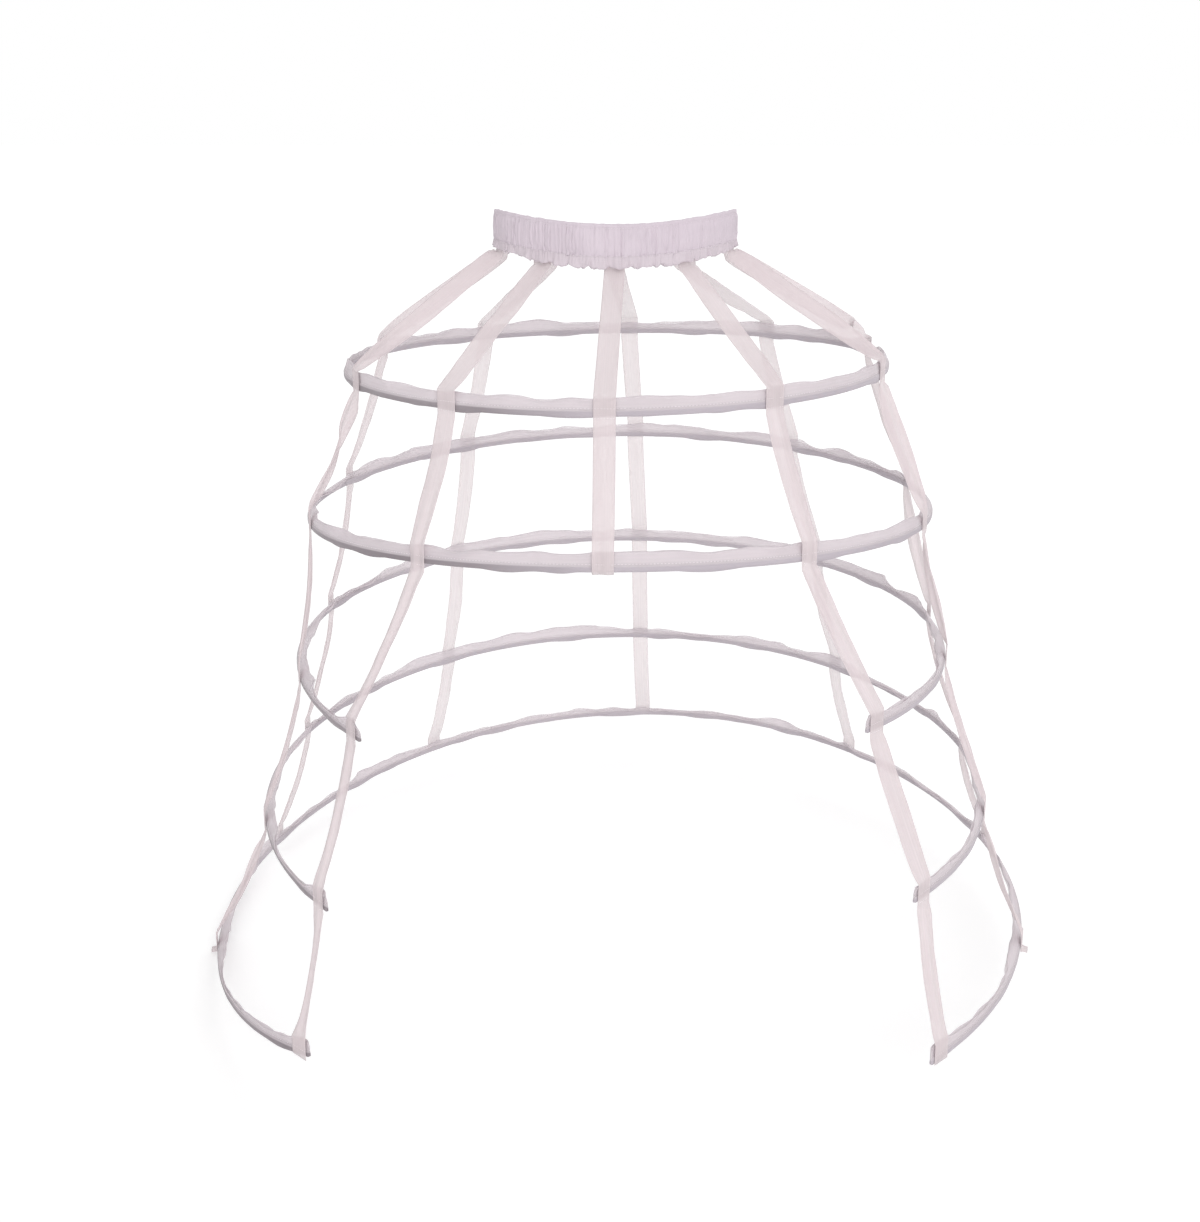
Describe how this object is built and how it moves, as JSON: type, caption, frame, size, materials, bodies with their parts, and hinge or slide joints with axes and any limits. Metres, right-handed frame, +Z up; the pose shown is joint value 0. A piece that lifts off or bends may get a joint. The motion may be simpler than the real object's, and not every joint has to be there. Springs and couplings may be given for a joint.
{
  "type": "crinoline cage",
  "caption": "Cage underskirt: a gathered elastic waistband, sheer ribbon straps and flexible hoops in ribbon casings, the lower hoops open at the front.",
  "frame": {"origin": "middle of the waist opening, at the height of the waistband's mean top edge", "axes": "+Z up out of the waist opening, the open front of the cage faces -Y, +X towards the wearer's left"},
  "size_m": [0.8963, 0.8194, 0.8005],
  "materials": {
    "ribbon": "sheer woven ribbon",
    "waistband": "gathered plain weave",
    "elastic": "woven elastic",
    "boning": "flat flexible boning",
    "tip": "satin",
    "joiner": "satin"
  },
  "bodies": {
    "root": {"waist_casing": "waistband", "waist_frill": "waistband", "waist_elastic": "elastic", "strap_front": "ribbon", "strap_front_right": "ribbon", "strap_side_right": "ribbon", "strap_rear_side_right": "ribbon", "strap_rear_right": "ribbon", "strap_rear": "ribbon", "strap_rear_left": "ribbon", "strap_rear_side_left": "ribbon", "strap_side_left": "ribbon", "strap_front_left": "ribbon", "hoop1_bone": "boning", "hoop1_casing": "ribbon", "hoop1_joiner": "joiner", "hoop2_bone": "boning", "hoop2_casing": "ribbon", "hoop2_joiner": "joiner", "hoop3_bone": "boning", "hoop3_casing": "ribbon", "hoop3_tip_left": "tip", "hoop3_tip_right": "tip", "hoop4_bone": "boning", "hoop4_casing": "ribbon", "hoop4_tip_left": "tip", "hoop4_tip_right": "tip", "hoop5_bone": "boning", "hoop5_casing": "ribbon", "hoop5_tip_left": "tip", "hoop5_tip_right": "tip"}
  },
  "joints": []
}
